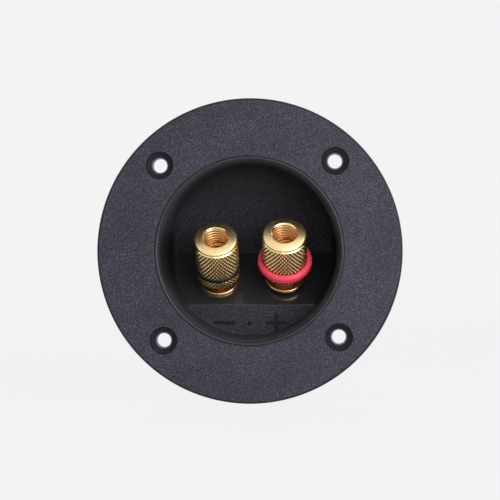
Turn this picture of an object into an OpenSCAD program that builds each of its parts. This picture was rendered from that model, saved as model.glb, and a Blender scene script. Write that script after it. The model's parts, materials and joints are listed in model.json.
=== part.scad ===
// Round speaker terminal cup: a moulded flange and well with two gold-plated binding posts.
// The flange seats on the plane y = 0, faces -Y, and +Z is up.

/* [Flange] */
// Outside diameter of the flange
flange_d = 100; // [96:1:120]
// Thickness of the flange
flange_t = 3.5; // [3:0.1:5]
// Rounding of the flange's front edge
flange_edge_r = 1.4; // [0.5:0.1:2]
// Diameter of the circle of screw holes
screw_circle_d = 81.2; // [78:0.1:84]
// Diameter of a screw hole
screw_hole_d = 4.6; // [3:0.1:5.5]
// Diameter of a countersink at the front face
countersink_d = 9; // [8:0.1:10]
// Number of screw holes
screw_count = 4; // [3:1:8]
// Turn of the screw holes about the flange's axis
screw_turn = 1.3; // [-10:0.1:10]

/* [Well] */
// Diameter of the well just inside its mouth
mouth_d = 58; // [56:0.1:62]
// Rounding of the mouth's edge
lip_r = 2; // [0.5:0.1:2.5]
// Width of the smooth lip beside the rounding
lip_land = 0.1; // [0.1:0.05:0.6]
// Step from the grained face down to the smooth lip
lip_step = 0.15; // [0.05:0.05:0.3]
// Draft angle of the well's wall
wall_draft = 0.3; // [0:0.1:2]
// Thickness of the cup's walls
wall = 2.8; // [2:0.1:3.5]
// Angle of the post floor to the flange
floor_tilt = 40; // [35:1:45]
// Angle of the upper wall to the flange
upper_tilt = 23; // [15:1:28]
// Depth of the post seats below the front face
seat_depth = 25; // [24:0.5:30]
// Drop of the post seats below the flange's axis
seat_drop = 10.1; // [9:0.1:11]
// Drop of the deepest line of the well below the flange's axis
valley_drop = 0.5; // [0:0.1:2]
// Depth of the flat ledge below the front face
ledge_depth = 18; // [16:0.5:19]

/* [Binding posts] */
// Distance between the two posts
post_pitch = 23; // [20:0.1:25]
// Diameter of a post's foot
foot_d = 14; // [12:0.1:15]
// Thickness of a post's foot
foot_t = 1; // [0.8:0.1:1.5]
// Outside diameter of a post's thread
stud_d = 8.4; // [7:0.1:8.6]
// Height of a post above the underside of its foot
stud_h = 16.3; // [14:0.1:18]
// Bore of the plug socket in a post
socket_d = 4.1; // [4:0.05:4.5]
// Depth of the plug socket
socket_depth = 10.5; // [8:0.5:11]
// Chamfer of the socket's mouth
socket_chamfer = 0.4; // [0.1:0.1:0.8]
// Bore of the wire hole across a post
wire_hole_d = 3; // [1.5:0.1:3.2]
// Gap between the foot and the wire hole
wire_hole_gap = 0.6; // [0.3:0.1:1]
// Diameter of the shank behind the seat
shank_d = 5; // [4:0.1:5.5]
// Length of the black post's shank behind its last nut
shank_spare = 3; // [2.5:0.1:5]
// Chamfer of the thread ends
thread_chamfer = 0.6; // [0.2:0.1:0.8]
// Thickness of the insulating washer under the red post's foot
insulator_t = 1.6; // [1:0.1:2]

/* [Thumb nuts] */
// Outside diameter over the knurl
nut_d = 15.2; // [14:0.1:16]
// Diameter of the plain collar at the top
collar_d = 15; // [13.8:0.1:15.4]
// Height of that collar
collar_h = 1.9; // [1.2:0.1:3]
// Rounding of the collar's top edge
collar_edge_r = 0.9; // [0.3:0.05:1.1]
// Chamfer of the thread's mouth at both ends
mouth_chamfer = 0.35; // [0.2:0.05:1]
// Height of the long knurl
knurl_h = 12; // [9:0.1:14]
// Height of the short knurl
low_knurl_h = 3.2; // [2.4:0.1:5]
// Height of the plain land under the short knurl
land_h = 0.3; // [0.2:0.1:1]
// Diameter of that land
land_d = 13.2; // [12:0.1:13.4]
// Depth of the knurl
knurl_depth = 0.5; // [0.3:0.05:0.6]
// Number of diamonds around the knurl
knurl_count = 36; // [24:1:44]
// Wanted height of a diamond
diamond_h = 1.9; // [1.8:0.1:3]
// Width of the ring groove
groove_w = 1.8; // [1.2:0.1:2]
// Diameter at the bottom of the ring groove
groove_d = 12.8; // [12:0.1:13.2]
// Height of the black nut above its post's foot
black_nut_gap = 2.55; // [0.5:0.05:6]
// Height of the red nut above its post's foot
red_nut_gap = 3.15; // [0.5:0.05:6]

/* [Colour rings] */
// Outside diameter of the flush black ring
black_ring_d = 14.8; // [14:0.1:15.2]
// Outside diameter of the proud red ring
red_ring_d = 18.5; // [17:0.1:20]
// Height of the red ring's bead
red_ring_h = 3; // [2.4:0.1:3.4]
// Lap of that bead below the groove
red_ring_lap = 0.15; // [0.1:0.05:0.4]
// Rounding of the red ring's bead
red_ring_edge_r = 0.35; // [0.2:0.05:0.7]

/* [Rear hardware] */
// Outside diameter of the flat washers
washer_d = 10; // [9:0.5:12]
// Thickness of the flat washers
washer_t = 1; // [0.5:0.1:1.5]
// Outside diameter of the spring washers
spring_washer_d = 9.2; // [8.5:0.1:10]
// Thickness of the spring washers
spring_washer_t = 1.2; // [0.8:0.1:1.6]
// Width of the split in a spring washer
spring_washer_split = 0.9; // [0.5:0.1:1.5]
// Lean of that split
spring_washer_lean = 25; // [0:1:40]
// Width of the hex nuts across their flats
hex_flats = 8; // [7:0.5:9]
// Thickness of the hex nuts
hex_t = 2.7; // [2:0.1:4]
// Angle of the chamfer on the corners of the hex nuts
hex_chamfer = 30; // [15:1:35]
// Thickness of the solder lugs
lug_t = 0.8; // [0.5:0.1:1]
// Diameter of a lug's eye
lug_eye_d = 9.6; // [8.5:0.1:11]
// Width of a lug's tab
lug_tab_w = 4.8; // [4:0.1:6.5]
// Length of a lug from its eye's middle to its tip
lug_length = 18; // [15:0.5:22]
// Distance from the eye's middle to the bend
lug_bend_at = 7; // [6:0.5:9]
// Angle of the bend
lug_bend = 30; // [0:1:45]
// Diameter of the wire hole in the tab
lug_hole_d = 2; // [1.5:0.1:2.5]

/* [Fits] */
// Radial clearance of a nut on its thread
thread_clearance = 0.05; // [0.02:0.01:0.1]
// Radial clearance of the washers, lugs and floor on a shank
shank_clearance = 0.1; // [0.05:0.05:0.3]
// Clearance of a colour ring in its groove
ring_clearance = 0.05; // [0.02:0.01:0.1]

/* [Hidden] */
$fn = 96;

// Extra length that makes a cut pass clean through
over = 1;
black_side = -1;
red_side = 1;
plastic_colour = [0.26, 0.25, 0.29];
gold_colour = [0.85, 0.64, 0.27];
black_colour = [0.07, 0.07, 0.07];
red_colour = [0.90, 0.25, 0.30];

// The well's section, in the plane across the flange: [height above the axis, distance out of the panel]
front = flange_t;
cup_r = mouth_d / 2 + wall;
floor_normal = [sin(floor_tilt), cos(floor_tilt)];
upper_normal = [-sin(upper_tilt), cos(upper_tilt)];
ledge_normal = [0, 1];
seat = [-seat_drop, front - seat_depth];
valley = [-valley_drop, seat[1] - (seat_drop - valley_drop) * tan(floor_tilt)];
ledge_edge = [-seat_drop - (seat_depth - ledge_depth) / tan(floor_tilt), front - ledge_depth];

// A corner moved back by t from both of the faces that meet there
function offset_corner(corner, normal_a, normal_b, t) =
    corner - t * (normal_a + normal_b) / (1 + normal_a * normal_b);

// Stations along a post's axis, measured from its seat on the floor
washer_at = -wall - washer_t;
spring_washer_at = washer_at - spring_washer_t;
clamp_nut_at = spring_washer_at - hex_t;
lug_at = clamp_nut_at - lug_t;
lock_nut_at = lug_at - hex_t;
function foot_at(side) = side == red_side ? insulator_t : 0;

// Stations along a post, measured from the underside of its foot; both posts are alike
wire_hole_at = foot_t + wire_hole_gap + wire_hole_d / 2;
shank_end = lock_nut_at - shank_spare;

// Stations along a thumb nut, measured from its lower end
low_knurl_at = land_h;
groove_at = low_knurl_at + low_knurl_h;
knurl_at = groove_at + groove_w;
collar_at = knurl_at + knurl_h;
nut_h = collar_at + collar_h;
pit_r = nut_d / 2 - knurl_depth;
nut_bore_r = stud_d / 2 + thread_clearance;

// Turns a shape made with +Z out of the panel to face -Y with +Z up
module facing_out() {
    rotate([90, 0, 0]) children();
}

// Tilts a shape made along +Z onto one post's axis, with z = 0 at the post's seat
module at_seat(side) {
    translate([side * post_pitch / 2, seat[0], seat[1]]) rotate([-floor_tilt, 0, 0]) children();
}

module on_post(side) {
    facing_out() at_seat(side) children();
}

// The same, with z = 0 at the underside of the post's foot
module on_foot(side) {
    on_post(side) translate([0, 0, foot_at(side)]) children();
}

// A revolved disc with its upper outside edge rounded
module rounded_disc(r, h, edge_r) {
    rotate_extrude() {
        square([r - edge_r, h]);
        square([r, h - edge_r]);
        translate([r - edge_r, h - edge_r]) circle(edge_r);
    }
}

// A bar across the flange whose section is the well's, moved back by t from its faces
module section_bar(t) {
    r = cup_r + over;
    low = offset_corner(valley, floor_normal, upper_normal, t);
    edge = offset_corner(ledge_edge, floor_normal, ledge_normal, t);
    rotate([90, 0, 90]) translate([0, 0, -r]) linear_extrude(2 * r) polygon([
        [r, front + over],
        [r, low[1] + (r - low[0]) * tan(upper_tilt)],
        low,
        edge,
        [-r, edge[1]],
        [-r, front + over]
    ]);
}

module well() {
    deep = seat_depth + cup_r;
    deep_r = mouth_d / 2 - deep * tan(wall_draft);
    top_r = mouth_d / 2 + over * tan(wall_draft);
    intersection() {
        translate([0, 0, front - deep]) cylinder(h = deep + over, r1 = deep_r, r2 = top_r);
        section_bar(0);
    }
}

// The ring cut away to round the mouth's edge and to set the smooth lip below the grained face
module lip_cut() {
    r = mouth_d / 2;
    rotate_extrude() {
        difference() {
            translate([r - over, front - lip_step - lip_r]) square([lip_r + over, lip_r + lip_step + over]);
            translate([r + lip_r, front - lip_step - lip_r]) circle(lip_r);
        }
        translate([r, front - lip_step]) square([lip_r + lip_land, lip_step + over]);
    }
}

module screw_hole() {
    depth = (countersink_d - screw_hole_d) / 2;
    translate([0, 0, -over]) cylinder(h = flange_t + 2 * over, d = screw_hole_d);
    translate([0, 0, flange_t - depth])
        cylinder(h = depth + over, d1 = screw_hole_d, d2 = countersink_d + 2 * over);
}

module cup() {
    deep = seat_depth + cup_r;
    color(plastic_colour) facing_out() difference() {
        union() {
            rounded_disc(flange_d / 2, flange_t, flange_edge_r);
            intersection() {
                translate([0, 0, -deep]) cylinder(h = deep + flange_t / 2, r = cup_r);
                section_bar(wall);
            }
        }
        well();
        lip_cut();
        for (i = [0 : screw_count - 1])
            rotate(screw_turn + 180 / screw_count + i * 360 / screw_count)
                translate([screw_circle_d / 2, 0, 0]) screw_hole();
        for (side = [black_side, red_side])
            at_seat(side) translate([0, 0, -wall - over])
                cylinder(h = wall + 2 * over, r = shank_d / 2 + shank_clearance);
    }
}

// A turned post: foot, threaded stud with its plug socket and wire hole, and the shank behind the floor
module post(side) {
    color(gold_colour) on_foot(side) difference() {
        union() {
            rounded_disc(foot_d / 2, foot_t, foot_t / 4);
            cylinder(h = stud_h - thread_chamfer, d = stud_d);
            translate([0, 0, stud_h - thread_chamfer])
                cylinder(h = thread_chamfer, d1 = stud_d, d2 = stud_d - 2 * thread_chamfer);
            translate([0, 0, shank_end + thread_chamfer])
                cylinder(h = foot_t / 2 - shank_end - thread_chamfer, d = shank_d);
            translate([0, 0, shank_end])
                cylinder(h = thread_chamfer, d1 = shank_d - 2 * thread_chamfer, d2 = shank_d);
        }
        translate([0, 0, stud_h - socket_depth]) cylinder(h = socket_depth + over, d = socket_d);
        translate([0, 0, stud_h - socket_chamfer])
            cylinder(h = socket_chamfer + over, d1 = socket_d, d2 = socket_d + 2 * (socket_chamfer + over));
        translate([0, 0, wire_hole_at]) rotate([0, 90, 0])
            cylinder(h = stud_d + 2 * over, d = wire_hole_d, center = true);
    }
}

// A diamond knurl: peaks and pits alternate around each row and from row to row, between plain ends
module knurl(h) {
    around = 2 * knurl_count;
    rows = 2 * max(1, round(h / diamond_h));
    function radius(i, j) = j > 0 && j < rows && (i + j) % 2 == 0 ? nut_d / 2 : pit_r;
    function at(i, j) = j * around + i % around;
    points = [for (j = [0 : rows]) for (i = [0 : around - 1])
        [radius(i, j) * cos(360 * i / around), radius(i, j) * sin(360 * i / around), h * j / rows]];
    sides = [for (j = [0 : rows - 1]) for (i = [0 : around - 1])
        each (i + j) % 2 == 0
            ? [[at(i, j), at(i, j + 1), at(i + 1, j)], [at(i + 1, j), at(i, j + 1), at(i + 1, j + 1)]]
            : [[at(i, j), at(i, j + 1), at(i + 1, j + 1)], [at(i, j), at(i + 1, j + 1), at(i + 1, j)]]];
    bottom = [for (i = [0 : around - 1]) at(i, 0)];
    top = [for (i = [around - 1 : -1 : 0]) at(i, rows)];
    polyhedron(points, concat(sides, [bottom, top]));
}

// A thumb nut, standing on its lower end
module thumb_nut_body() {
    difference() {
        union() {
            cylinder(h = land_h, d = land_d);
            translate([0, 0, low_knurl_at]) knurl(low_knurl_h);
            translate([0, 0, groove_at]) cylinder(h = groove_w, d = groove_d);
            translate([0, 0, knurl_at]) knurl(knurl_h);
            translate([0, 0, collar_at]) rounded_disc(collar_d / 2, collar_h, collar_edge_r);
        }
        translate([0, 0, -over]) cylinder(h = nut_h + 2 * over, r = nut_bore_r);
        translate([0, 0, nut_h - mouth_chamfer])
            cylinder(h = mouth_chamfer + over, r1 = nut_bore_r, r2 = nut_bore_r + mouth_chamfer + over);
        translate([0, 0, -over])
            cylinder(h = mouth_chamfer + over, r1 = nut_bore_r + mouth_chamfer + over, r2 = nut_bore_r);
    }
}

module thumb_nut(side, gap) {
    color(gold_colour) on_foot(side) translate([0, 0, foot_t + gap]) thumb_nut_body();
}

// The part of a colour ring that lies in the nut's groove
module ring_section(outside_d) {
    inside_r = groove_d / 2 + ring_clearance;
    translate([inside_r, ring_clearance]) square([outside_d / 2 - inside_r, groove_w - 2 * ring_clearance]);
}

module black_ring() {
    color(black_colour) on_foot(black_side) translate([0, 0, foot_t + black_nut_gap + groove_at])
        rotate_extrude() ring_section(black_ring_d);
}

// The red ring's bead laps over the knurl on both sides of the groove
module red_ring() {
    bead_r = nut_d / 2 + ring_clearance;
    edge_at = red_ring_d / 2 - red_ring_edge_r;
    color(red_colour) on_foot(red_side) translate([0, 0, foot_t + red_nut_gap + groove_at]) rotate_extrude() {
        ring_section(2 * edge_at);
        translate([0, -red_ring_lap]) {
            translate([bead_r, 0]) square([edge_at - bead_r, red_ring_h]);
            translate([bead_r, red_ring_edge_r])
                square([red_ring_d / 2 - bead_r, red_ring_h - 2 * red_ring_edge_r]);
            for (z = [red_ring_edge_r, red_ring_h - red_ring_edge_r])
                translate([edge_at, z]) circle(red_ring_edge_r);
        }
    }
}

// The black washer that lifts the red post's foot off the floor
module red_insulator() {
    color(black_colour) on_post(red_side) difference() {
        cylinder(h = insulator_t, d = foot_d);
        translate([0, 0, -over]) cylinder(h = insulator_t + 2 * over, r = shank_d / 2 + shank_clearance);
    }
}

module flat_washer(side) {
    color(gold_colour) on_post(side) translate([0, 0, washer_at]) difference() {
        cylinder(h = washer_t, d = washer_d);
        translate([0, 0, -over]) cylinder(h = washer_t + 2 * over, r = shank_d / 2 + shank_clearance);
    }
}

// A split spring washer, drawn flat under its nut
module spring_washer(side) {
    color(gold_colour) on_post(side) translate([0, 0, spring_washer_at]) difference() {
        cylinder(h = spring_washer_t, d = spring_washer_d);
        translate([0, 0, -over]) cylinder(h = spring_washer_t + 2 * over, r = shank_d / 2 + shank_clearance);
        translate([0, spring_washer_d / 2, spring_washer_t / 2]) rotate([0, spring_washer_lean, 0])
            cube([spring_washer_split, spring_washer_d, 3 * spring_washer_t], center = true);
    }
}

// A hex nut with its corners chamfered down to the flats on both faces
module hex_nut(side, at) {
    flat_r = hex_flats / 2;
    corner_r = flat_r / cos(30);
    drop = (corner_r - flat_r) * tan(hex_chamfer);
    color(gold_colour) on_post(side) translate([0, 0, at]) difference() {
        intersection() {
            rotate(30) cylinder(h = hex_t, r = corner_r, $fn = 6);
            rotate_extrude() polygon([
                [0, 0],
                [flat_r, 0],
                [corner_r + over, drop + over * tan(hex_chamfer)],
                [corner_r + over, hex_t - drop - over * tan(hex_chamfer)],
                [flat_r, hex_t],
                [0, hex_t]
            ]);
        }
        translate([0, 0, -over]) cylinder(h = hex_t + 2 * over, r = shank_d / 2 + thread_clearance);
    }
}

// The strip that a lug is cut from, seen edge on: flat under the nut, then bent away from the cup
module lug_strip() {
    run = lug_length - lug_bend_at;
    tip = lug_t - run * tan(lug_bend);
    rotate([90, 0, 90]) translate([0, 0, -lug_eye_d]) linear_extrude(2 * lug_eye_d) polygon([
        [-lug_eye_d, 0],
        [-lug_eye_d, lug_t],
        [lug_bend_at, lug_t],
        [lug_length, tip],
        [lug_length, tip - lug_t / cos(lug_bend)],
        [lug_bend_at - lug_t * tan(lug_bend / 2), 0]
    ]);
}

// A solder lug: an eye on the shank and a tapered tab with a hole for the wire
module solder_lug(side) {
    reach = lug_length + lug_eye_d;
    tip_w = lug_hole_d + 2 * lug_t;
    hole_at = lug_length - tip_w / 2;
    color(gold_colour) on_post(side) translate([0, 0, lug_at]) difference() {
        intersection() {
            lug_strip();
            union() {
                translate([0, 0, -over]) cylinder(h = lug_t + 2 * over, d = lug_eye_d);
                translate([0, 0, -reach]) linear_extrude(2 * reach) polygon([
                    [-lug_tab_w / 2, 0],
                    [-lug_tab_w / 2, lug_bend_at],
                    [-tip_w / 2, lug_length],
                    [tip_w / 2, lug_length],
                    [lug_tab_w / 2, lug_bend_at],
                    [lug_tab_w / 2, 0]
                ]);
            }
        }
        translate([0, 0, -over]) cylinder(h = lug_t + 2 * over, r = shank_d / 2 + shank_clearance);
        translate([0, hole_at, lug_t - (hole_at - lug_bend_at) * tan(lug_bend)]) rotate([-lug_bend, 0, 0])
            cylinder(h = 4 * lug_t, d = lug_hole_d, center = true);
    }
}

cup();
post(black_side);  // black_post
post(red_side);  // red_post
thumb_nut(black_side, black_nut_gap);  // black_thumb_nut
thumb_nut(red_side, red_nut_gap);  // red_thumb_nut
black_ring();
red_ring();
red_insulator();
flat_washer(black_side);  // black_flat_washer
flat_washer(red_side);  // red_flat_washer
spring_washer(black_side);  // black_spring_washer
spring_washer(red_side);  // red_spring_washer
hex_nut(black_side, clamp_nut_at);  // black_clamp_nut
hex_nut(red_side, clamp_nut_at);  // red_clamp_nut
solder_lug(black_side);  // black_solder_lug
solder_lug(red_side);  // red_solder_lug
hex_nut(black_side, lock_nut_at);  // black_lock_nut
hex_nut(red_side, lock_nut_at);  // red_lock_nut
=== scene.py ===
import json
import math

import bmesh
import bpy
import numpy as np
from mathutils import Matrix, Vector


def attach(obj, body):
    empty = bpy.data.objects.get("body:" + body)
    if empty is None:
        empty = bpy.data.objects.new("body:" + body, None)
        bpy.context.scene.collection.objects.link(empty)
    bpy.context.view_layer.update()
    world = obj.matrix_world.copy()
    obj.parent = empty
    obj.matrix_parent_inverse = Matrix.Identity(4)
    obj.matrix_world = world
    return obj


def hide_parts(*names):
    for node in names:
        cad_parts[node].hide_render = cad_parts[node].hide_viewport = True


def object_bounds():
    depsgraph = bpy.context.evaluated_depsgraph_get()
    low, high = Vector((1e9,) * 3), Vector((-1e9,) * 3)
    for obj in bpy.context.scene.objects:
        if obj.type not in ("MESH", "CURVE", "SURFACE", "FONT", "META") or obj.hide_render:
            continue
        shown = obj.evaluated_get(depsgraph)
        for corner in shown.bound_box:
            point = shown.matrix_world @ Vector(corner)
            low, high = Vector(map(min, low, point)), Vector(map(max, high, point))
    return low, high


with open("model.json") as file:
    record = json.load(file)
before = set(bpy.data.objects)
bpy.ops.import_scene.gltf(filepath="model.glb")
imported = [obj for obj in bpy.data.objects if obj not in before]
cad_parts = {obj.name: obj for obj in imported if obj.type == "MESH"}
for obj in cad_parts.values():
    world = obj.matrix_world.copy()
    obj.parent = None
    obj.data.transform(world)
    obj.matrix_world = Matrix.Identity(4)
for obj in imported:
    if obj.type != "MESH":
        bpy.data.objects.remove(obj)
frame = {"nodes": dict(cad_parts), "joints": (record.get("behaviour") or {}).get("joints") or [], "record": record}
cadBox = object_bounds()                    # box of the bare solids
mm = 0.001
joints = {joint["name"]: joint for joint in frame["joints"]}
mounts = {mount["name"]: mount for mount in frame["record"]["mounts"]}
frontY = cadBox[0].y / mm               # front face of the flange, where depths start
print("frame loaded:", len(frame["nodes"]), "nodes")


# Shader sums

class Val:
    # a shader socket that can be used in plain sums
    def __init__(self, paint, socket):
        self.paint = paint
        self.socket = socket

    def __add__(self, other):
        return self.paint.sum("ADD", self, other)

    def __sub__(self, other):
        return self.paint.sum("SUBTRACT", self, other)

    def __rsub__(self, other):
        return self.paint.sum("SUBTRACT", other, self)

    def __mul__(self, other):
        return self.paint.sum("MULTIPLY", self, other)

    def __pow__(self, other):
        return self.paint.sum("POWER", self, other)

    __radd__ = __add__
    __rmul__ = __mul__


class Paint:
    # one material or world and the nodes in it
    def __init__(self, owner):
        self.owner = owner
        owner.use_nodes = True
        self.tree = owner.node_tree
        self.tree.nodes.clear()

    def node(self, kind, settings, sockets, out=0):
        # any node: its settings first, then the values or links of its sockets
        made = self.tree.nodes.new("ShaderNode" + kind)
        for key, value in settings.items():
            setattr(made, key, value)
        for key, value in sockets.items():
            if isinstance(value, Val):
                self.tree.links.new(value.socket, made.inputs[key])
            else:
                made.inputs[key].default_value = value
        return Val(self, made.outputs[out]) if len(made.outputs) else None

    def sum(self, operation, first, second):
        return self.node("Math", {"operation": operation}, {0: first, 1: second})

    def place(self):
        # where a point is on the part at rest, in metres
        return self.node("TexCoord", {}, {}, "Object")

    def most(self, *values):
        # the largest of some values
        found = values[0]
        for value in values[1:]:
            found = self.sum("MAXIMUM", found, value)
        return found

    def size(self, value):
        # the value without its sign
        return self.node("Math", {"operation": "ABSOLUTE"}, {0: value})

    def parts(self, vector):
        split = self.node("SeparateXYZ", {}, {"Vector": vector}).socket.node
        return [Val(self, socket) for socket in split.outputs]

    def ramp(self, value, low, high):
        # 0 below low, 1 above high, smooth between
        settings = {"interpolation_type": "SMOOTHSTEP"}
        return self.node("MapRange", settings, {"Value": value, "From Min": low, "From Max": high})

    def mix(self, factor, first, second):
        settings = {"data_type": "RGBA"}
        return self.node("Mix", settings, {0: factor, 6: first, 7: second}, 2)

    def noise(self, vector, scale, detail=2.0, roughness=0.5):
        sockets = {"Vector": vector, "Scale": scale, "Detail": detail, "Roughness": roughness}
        return self.node("TexNoise", {}, sockets)

    def bump(self, height, distance, strength):
        return self.node("Bump", {}, {"Height": height, "Distance": distance, "Strength": strength})

    def shaded(self, sockets):
        shader = self.node("BsdfPrincipled", {}, sockets)
        self.node("OutputMaterial", {}, {"Surface": shader})
        return self.owner


def tint(red, green, blue):
    # a colour as seen on screen, 0 to 255, as the linear colour that shaders take
    seen = np.array([red, green, blue]) / 255.0
    linear = np.where(seen <= 0.04045, seen / 12.92, ((seen + 0.055) / 1.055) ** 2.4)
    return (*linear.tolist(), 1.0)


# Grids of points made into meshes

weld = {"gap": 1e-7, "sliver": 1e-8}    # metres: points and edges that count as one
hold = 0.15                             # millimetres: a row this near a rounding keeps flats flat


class Skin:
    # gathers grids of points in millimetres and welds them into one mesh
    def __init__(self):
        self.points = []
        self.faces = []
        self.tarnishAndShade = []
        self.count = 0

    def add(self, grid, closed=False, hide=None, crease=None, tarnishAndShade=0.0):
        # closed joins the last column to the first; hide leaves cells out; the last argument darkens the points,
        # as tarnish and painted shade;
        # crease cuts each cell along the diagonal on which that value changes least
        rows, cols = grid.shape[:2]
        index = self.count + np.arange(rows * cols).reshape(rows, cols)
        left = index if closed else index[:, :-1]
        right = np.roll(index, -1, axis=1) if closed else index[:, 1:]
        cells = np.stack([left[:-1], right[:-1], right[1:], left[1:]], axis=-1).reshape(-1, 4)
        if hide is not None:
            cells = cells[~hide.reshape(-1)]
        self.points.append(grid.reshape(-1, 3))
        self.tarnishAndShade.append(np.broadcast_to(tarnishAndShade, (rows, cols)).reshape(-1))
        self.count += rows * cols
        if crease is None:
            self.faces.extend(cells.tolist())
            return
        value = crease.reshape(-1)[cells - index[0, 0]]
        along = np.abs(value[:, 0] - value[:, 2]) <= np.abs(value[:, 1] - value[:, 3])
        turned = np.where(along[:, None], cells, np.roll(cells, -1, axis=1))
        self.faces.extend(turned[:, [0, 1, 2]].tolist())
        self.faces.extend(turned[:, [0, 2, 3]].tolist())

    def piece(self, name, sharpAngle):
        # the welded mesh, smooth but for edges that turn by more than an angle in degrees
        mesh = bpy.data.meshes.new(name)
        mesh.from_pydata(np.concatenate(self.points) * mm, [], self.faces)
        worn = mesh.attributes.new("tarnishAndShade", "FLOAT", "POINT")
        worn.data.foreach_set("value", np.concatenate(self.tarnishAndShade))
        shape = bmesh.new()
        shape.from_mesh(mesh)
        bmesh.ops.remove_doubles(shape, verts=shape.verts, dist=weld["gap"])
        bmesh.ops.dissolve_degenerate(shape, edges=shape.edges, dist=weld["sliver"])
        bmesh.ops.recalc_face_normals(shape, faces=shape.faces)
        shape.to_mesh(mesh)
        shape.free()
        mesh.shade_smooth()
        mesh.set_sharp_from_angle(angle=math.radians(sharpAngle))
        made = bpy.data.objects.new(name, mesh)
        bpy.context.scene.collection.objects.link(made)
        return made


def dress(piece, body, slot, material, *nodes):
    # the piece moves with a body, hides the nodes it stands in for and gets its finish
    piece.data.materials.clear()
    piece.data.materials.append(material)
    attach(piece, body)
    if nodes:
        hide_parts(*nodes)
    print("made", piece.name, "with", len(piece.data.polygons), "faces")


def line(start, end, steps):
    # points from start up to, but not at, end
    share = np.arange(steps)[:, None] / steps
    return np.array(start) + share * (np.array(end) - np.array(start))


def arc(centre, radius, startAngle, endAngle, steps):
    # points on a circle from one angle to the other, both ends in
    turn = np.radians(np.linspace(startAngle, endAngle, steps + 1))
    return np.array(centre) + radius * np.stack([np.cos(turn), np.sin(turn)], axis=-1)


# Cup

cup = {
    # sizes in millimetres, angles in degrees
    "edgeRound": 0.8,                   # front edge of the flange
    "rearBreak": ((0.0, 0.3), (0.05, 0.08), (0.2, 0.0)),    # rear edge: in from rim and rear face
    "screwZone": (33.6, 47.6),          # flat ring of the flange that holds the screws
    "screwAngle": 9.0,                  # to each side of a screw
    "mouthRadius": 29.0,
    "lipRound": 1.5,                    # width of the lip's rounding
    "lipReach": 3.0,                    # how far the rounding goes into the well
    "lipDrop": 0.12,                    # smooth lip below the grained face
    "lipFlat": 0.14,                    # level crest of the lip
    "lipOuter": 0.25,                   # rounding of the lip's outer edge
    "lipLine": 0.3,                     # width of the fine line round the lip
    "lineSide": 0.1,                    # and of its sloped outer side
    "draft": 0.3,
    "wall": 2.8,
    "upperTilt": 23.0,
    "valleyDrop": 0.5,
    "ledgeDepth": 18.0,
    "upperRound": 6.0,                  # where the well's wall meets its upper slope,
    "floorRound": 2.6,                  # the post floor
    "ledgeRound": 0.7,                  # and the ledge
    "roundHeights": (-20.0, -17.0, -1.0, 9.0),      # ledge, then the floor's two ends, then upper slope
    "outerRound": 0.6,
    "seatFillet": 0.5,                  # where the outside meets the flange
    "foldRound": 0.1,                   # along the ledge
    "foldHeights": (-19.0, -0.75),      # where the folds meet the wall
    "foldSpan": 3.5,                    # columns are closer so far to each side of a fold
    "foldStep": 0.25,
    "columns": 121,                     # on one side, without those
    "rows": {"bend": 8, "wall": 16, "lip": 15, "zone": 15, "outside": 14},
    "floorColumns": 81,
    "sinkRadius": 4.5,                  # countersink at the front face
    "holeTurn": 1.3,
    "shankHole": 2.6,
    "shankCells": (6, 5),               # rows and columns to each side of a shank hole
    "sharp": 32,                        # edges that turn by more stay sharp
}
flangeRadius = cadBox[1].x / mm
flangeThick = -frontY
postAxis = np.array(joints["black_nut_turn"]["axis"])
floorTilt = math.atan2(postAxis[2], -postAxis[1])
# middles of the posts' feet, and of their seats on the floor below
feet = {name: np.array(joints[name + "_nut_turn"]["pos_m"]) / mm for name in ("black", "red")}
seats = {name: foot - (foot - feet["black"]) @ postAxis * postAxis for name, foot in feet.items()}
seatDepth = seats["red"][1] - frontY
seatDrop = -seats["red"][2]
# depth where the post floor meets the upper slope
valleyDepth = seatDepth + (seatDrop - cup["valleyDrop"]) * math.tan(floorTilt)


def wellDepth(height, behind):
    # depth of the well's folded floor at a height: the lesser of the post floor and the upper slope,
    # never less than the ledge, with the fold at the ledge rounded; behind moves all three back
    upperTilt = math.radians(cup["upperTilt"])
    post = seatDepth + (height + seatDrop) * math.tan(floorTilt) + behind / math.cos(floorTilt)
    upper = valleyDepth - (height + cup["valleyDrop"]) * math.tan(upperTilt)
    upper = upper + behind / math.cos(upperTilt)
    ledge = cup["ledgeDepth"] + behind
    soft = cup["foldRound"]
    fold = np.minimum(post, upper)
    near = np.clip(1 - np.abs(fold - ledge) / soft, 0, 1)
    return np.maximum(fold, ledge) + soft * near ** 2 / 4


def wallRadius(depth):
    # the well narrows evenly with depth, by its draft
    return cup["mouthRadius"] - depth * math.tan(math.radians(cup["draft"]))


def cupAngles():
    # directions round the flange, alike on both sides and closer where the folds meet the wall
    span, step = cup["foldSpan"], cup["foldStep"]
    folds = [math.degrees(math.asin(height / cup["mouthRadius"])) for height in cup["foldHeights"]]
    close = [np.arange(fold - span, fold + span, step) for fold in folds]
    right = np.concatenate([np.linspace(-90, 90, cup["columns"])] + close)
    right = np.unique(np.round(right, 3))
    return np.radians(np.concatenate([right, 180 - right[-2:0:-1]])), len(right)


def ringed(radius, depth, turn):
    # a ring of points for each row of radius and depth
    radius, depth, turn = np.broadcast_arrays(radius, depth, turn)
    return np.stack([radius * np.cos(turn), depth + frontY, radius * np.sin(turn)], axis=-1)


def block(grid, rows, cols):
    # the loop of points round a block of cells, and a mark on the cells inside it
    (top, bottom), (left, right) = rows, cols
    loop = np.concatenate([grid[top, left:right], grid[top:bottom, right],
                           grid[bottom, right:left:-1], grid[bottom:top:-1, left]])
    inside = np.zeros((grid.shape[0] - 1, grid.shape[1]), bool)
    inside[top:bottom, left:right] = True
    return loop, inside


def rimOf(loop, centre, radius):
    # the points of a round hole that face the points of a loop in the same plane
    out = loop - centre
    return centre + radius * out / np.linalg.norm(out, axis=-1, keepdims=True)


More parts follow.
